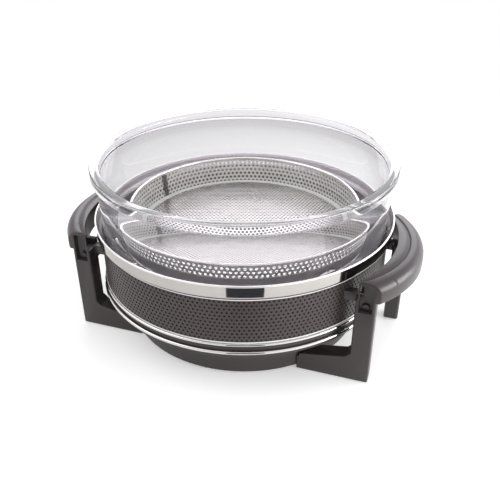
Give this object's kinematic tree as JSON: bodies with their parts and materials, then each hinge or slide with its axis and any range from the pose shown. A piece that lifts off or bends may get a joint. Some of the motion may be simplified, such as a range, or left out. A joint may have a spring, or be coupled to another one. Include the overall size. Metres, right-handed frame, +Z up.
{
  "type": "halogen oven",
  "caption": "Round countertop halogen oven: plastic stand with crescent handles, perforated guard, steel pan, deep glass bowl, wire rack and perforated steel basket.",
  "frame": {"origin": "on the table under the bowl's axis, at the centre of the bottom of the part's box", "axes": "+Z up along the bowl's axis; the handles lie along X; -Y is the front, where the foot beams are"},
  "size_m": [0.414, 0.343, 0.2],
  "materials": {
    "black_plastic": "moulded dark grey-brown plastic, satin",
    "rubber_feet": "matt black rubber",
    "silicone_pads": "grey silicone",
    "zinc_fasteners": "bright zinc",
    "black_mesh": "perforated sheet, dark enamel",
    "clear_glass": "clear tempered glass",
    "chrome_wire": "chromed wire",
    "polished_steel": "polished stainless steel",
    "basket_steel": "bright perforated stainless steel"
  },
  "bodies": {
    "base": {"base_ring": "black_plastic", "base_cover": "black_plastic", "base_feet": "rubber_feet", "cover_screws": "zinc_fasteners", "front_left_leg": "black_plastic", "front_right_leg": "black_plastic", "rear_left_leg": "black_plastic", "rear_right_leg": "black_plastic", "leg_feet": "rubber_feet", "leg_screws": "zinc_fasteners", "left_handle": "black_plastic", "right_handle": "black_plastic", "handle_screws": "zinc_fasteners", "guard_band": "black_mesh", "guard_top_bead": "chrome_wire", "guard_foot_bead": "chrome_wire", "base_bead": "chrome_wire", "front_left_lug": "black_plastic", "front_right_lug": "black_plastic", "rear_left_lug": "black_plastic", "rear_right_lug": "black_plastic", "lug_screws": "zinc_fasteners", "guard_rivets": "zinc_fasteners", "steel_collar": "polished_steel", "pan": "polished_steel", "pan_pads": "silicone_pads"},
    "bowl": {"glass_bowl": "clear_glass"},
    "rack": {"rack_hoop": "chrome_wire", "rack_grid": "chrome_wire", "rack_legs": "chrome_wire", "rack_loops": "chrome_wire"},
    "basket": {"basket_wall": "basket_steel", "basket_hem": "basket_steel", "basket_floor": "basket_steel", "basket_rim": "chrome_wire", "basket_seam": "basket_steel"}
  },
  "joints": [
    {"name": "bowl_lift", "type": "slide", "parent": "base", "child": "bowl", "axis": [0, 0, 1], "range_m": [0, 0.125]},
    {"name": "rack_lift", "type": "slide", "parent": "bowl", "child": "rack", "axis": [0, 0, 1], "range_m": [0, 0.17]},
    {"name": "basket_lift", "type": "slide", "parent": "rack", "child": "basket", "axis": [0, 0, 1], "range_m": [0, 0.1]}
  ]
}
